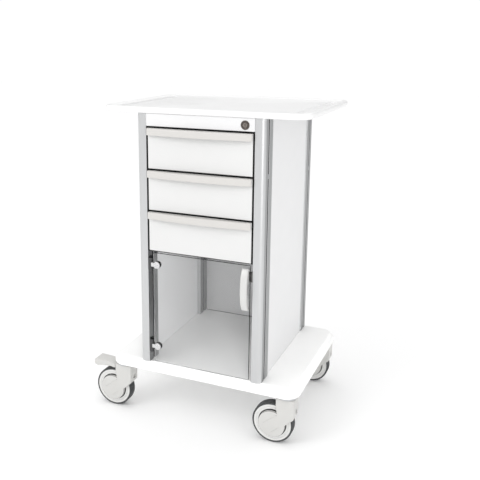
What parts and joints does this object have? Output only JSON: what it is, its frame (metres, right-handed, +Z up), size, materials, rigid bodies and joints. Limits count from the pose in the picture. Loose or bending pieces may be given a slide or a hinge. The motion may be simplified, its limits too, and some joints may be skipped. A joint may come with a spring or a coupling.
{
  "type": "instrument cart",
  "caption": "Upright instrument cart with stacked drawers over a clear-door compartment, overhanging worktop, T-slot corner posts and a wide base on swivel casters.",
  "frame": {"origin": "on the floor, at the middle of the whole object's footprint as it stands with its casters trailing to the left", "axes": "+Z up; the drawers and the door face -Y; +X is to the right of someone facing the front"},
  "size_m": [0.7024, 0.5134, 0.9903],
  "materials": {
    "moulded_white": "satin white moulded plastic with a fine texture",
    "panel_white": "satin white laminate panel",
    "front_white": "satin white drawer front",
    "tray_white": "white plastic drawer tray",
    "pull_grey": "warm light grey moulded plastic",
    "anodised": "satin silver anodised extrusion",
    "zinc_steel": "zinc-plated steel",
    "polished_chrome": "bright chrome plate",
    "clear_pane": "clear polished pane",
    "hinge_dark": "dark painted hinge leaf",
    "handle_white": "smooth white moulded plastic",
    "black_plastic": "black moulded plastic",
    "caster_grey": "light warm grey moulded nylon",
    "rim_grey": "pale grey moulded wheel rim",
    "tyre_grey": "dark grey non-marking rubber tread"
  },
  "bodies": {
    "cabinet": {"back_panel": "panel_white", "base_plate": "moulded_white", "caster_mount_front_left": "zinc_steel", "caster_mount_front_right": "zinc_steel", "caster_mount_rear_left": "zinc_steel", "caster_mount_rear_right": "zinc_steel", "divider_shelf": "panel_white", "door_catch": "black_plastic", "header_rail": "front_white", "hinge_leaf_lower": "hinge_dark", "hinge_leaf_upper": "hinge_dark", "lock_housing": "polished_chrome", "post_front_left": "anodised", "post_front_right": "anodised", "post_rear_left": "anodised", "post_rear_right": "anodised", "side_panel_left": "panel_white", "side_panel_right": "panel_white", "slide_rail_left_1": "zinc_steel", "slide_rail_left_2": "zinc_steel", "slide_rail_left_3": "zinc_steel", "slide_rail_right_1": "zinc_steel", "slide_rail_right_2": "zinc_steel", "slide_rail_right_3": "zinc_steel", "worktop": "moulded_white"},
    "drawer_1": {"drawer_box_1": "tray_white", "drawer_front_1": "front_white", "drawer_pull_1": "pull_grey", "slide_runner_left_1": "zinc_steel", "slide_runner_right_1": "zinc_steel"},
    "drawer_2": {"drawer_box_2": "tray_white", "drawer_front_2": "front_white", "drawer_pull_2": "pull_grey", "slide_runner_left_2": "zinc_steel", "slide_runner_right_2": "zinc_steel"},
    "drawer_3": {"drawer_box_3": "tray_white", "drawer_front_3": "front_white", "drawer_pull_3": "pull_grey", "slide_runner_left_3": "zinc_steel", "slide_runner_right_3": "zinc_steel"},
    "door": {"door_pane": "clear_pane", "hinge_clamp_upper": "polished_chrome", "hinge_clamp_lower": "polished_chrome", "door_handle": "handle_white", "door_strike": "zinc_steel"},
    "lock": {"lock_cylinder": "polished_chrome"},
    "caster_front_left": {"caster_fork_front_left": "caster_grey"},
    "wheel_front_left": {"caster_wheel_front_left": "rim_grey", "caster_tyre_front_left": "tyre_grey"},
    "caster_front_right": {"caster_fork_front_right": "caster_grey"},
    "wheel_front_right": {"caster_wheel_front_right": "rim_grey", "caster_tyre_front_right": "tyre_grey"},
    "caster_rear_left": {"caster_fork_rear_left": "caster_grey"},
    "wheel_rear_left": {"caster_wheel_rear_left": "rim_grey", "caster_tyre_rear_left": "tyre_grey"},
    "caster_rear_right": {"caster_fork_rear_right": "caster_grey"},
    "wheel_rear_right": {"caster_wheel_rear_right": "rim_grey", "caster_tyre_rear_right": "tyre_grey"},
    "brake_front_left": {"brake_pedal_front_left": "caster_grey"},
    "brake_rear_right": {"brake_pedal_rear_right": "caster_grey"}
  },
  "joints": [
    {"name": "drawer_1_slide", "type": "slide", "parent": "cabinet", "child": "drawer_1", "axis": [0, -1, 0], "range_m": [0, 0.3]},
    {"name": "drawer_2_slide", "type": "slide", "parent": "cabinet", "child": "drawer_2", "axis": [0, -1, 0], "range_m": [0, 0.3]},
    {"name": "drawer_3_slide", "type": "slide", "parent": "cabinet", "child": "drawer_3", "axis": [0, -1, 0], "range_m": [0, 0.3]},
    {"name": "door_swing", "type": "hinge", "parent": "cabinet", "child": "door", "pos_m": [-0.13075, -0.23315, 0.37125], "axis": [0, 0, -1], "range_deg": [0, 110]},
    {"name": "lock_turn", "type": "hinge", "parent": "cabinet", "child": "lock", "pos_m": [0.17025, -0.23535, 0.9525], "axis": [0, -1, 0], "range_deg": [0, 90]},
    {"name": "swivel_front_left", "type": "hinge", "parent": "cabinet", "child": "caster_front_left", "pos_m": [-0.24325, -0.20435, 0.1502], "axis": [0, 0, 1], "continuous": true},
    {"name": "spin_front_left", "type": "hinge", "parent": "caster_front_left", "child": "wheel_front_left", "pos_m": [-0.28325, -0.20435, 0.0635], "axis": [0, 1, 0], "continuous": true},
    {"name": "brake_front_left_press", "type": "hinge", "parent": "caster_front_left", "child": "brake_front_left", "pos_m": [-0.26425, -0.20435, 0.1412], "axis": [0, -1, 0], "range_deg": [0, 12]},
    {"name": "swivel_front_right", "type": "hinge", "parent": "cabinet", "child": "caster_front_right", "pos_m": [0.30375, -0.20435, 0.1502], "axis": [0, 0, 1], "continuous": true},
    {"name": "spin_front_right", "type": "hinge", "parent": "caster_front_right", "child": "wheel_front_right", "pos_m": [0.26375, -0.20435, 0.0635], "axis": [0, 1, 0], "continuous": true},
    {"name": "swivel_rear_left", "type": "hinge", "parent": "cabinet", "child": "caster_rear_left", "pos_m": [-0.24325, 0.21965, 0.1502], "axis": [0, 0, 1], "continuous": true},
    {"name": "spin_rear_left", "type": "hinge", "parent": "caster_rear_left", "child": "wheel_rear_left", "pos_m": [-0.28325, 0.21965, 0.0635], "axis": [0, 1, 0], "continuous": true},
    {"name": "swivel_rear_right", "type": "hinge", "parent": "cabinet", "child": "caster_rear_right", "pos_m": [0.30375, 0.21965, 0.1502], "axis": [0, 0, 1], "continuous": true},
    {"name": "spin_rear_right", "type": "hinge", "parent": "caster_rear_right", "child": "wheel_rear_right", "pos_m": [0.26375, 0.21965, 0.0635], "axis": [0, 1, 0], "continuous": true},
    {"name": "brake_rear_right_press", "type": "hinge", "parent": "caster_rear_right", "child": "brake_rear_right", "pos_m": [0.28275, 0.21965, 0.1412], "axis": [0, -1, 0], "range_deg": [0, 12]}
  ]
}
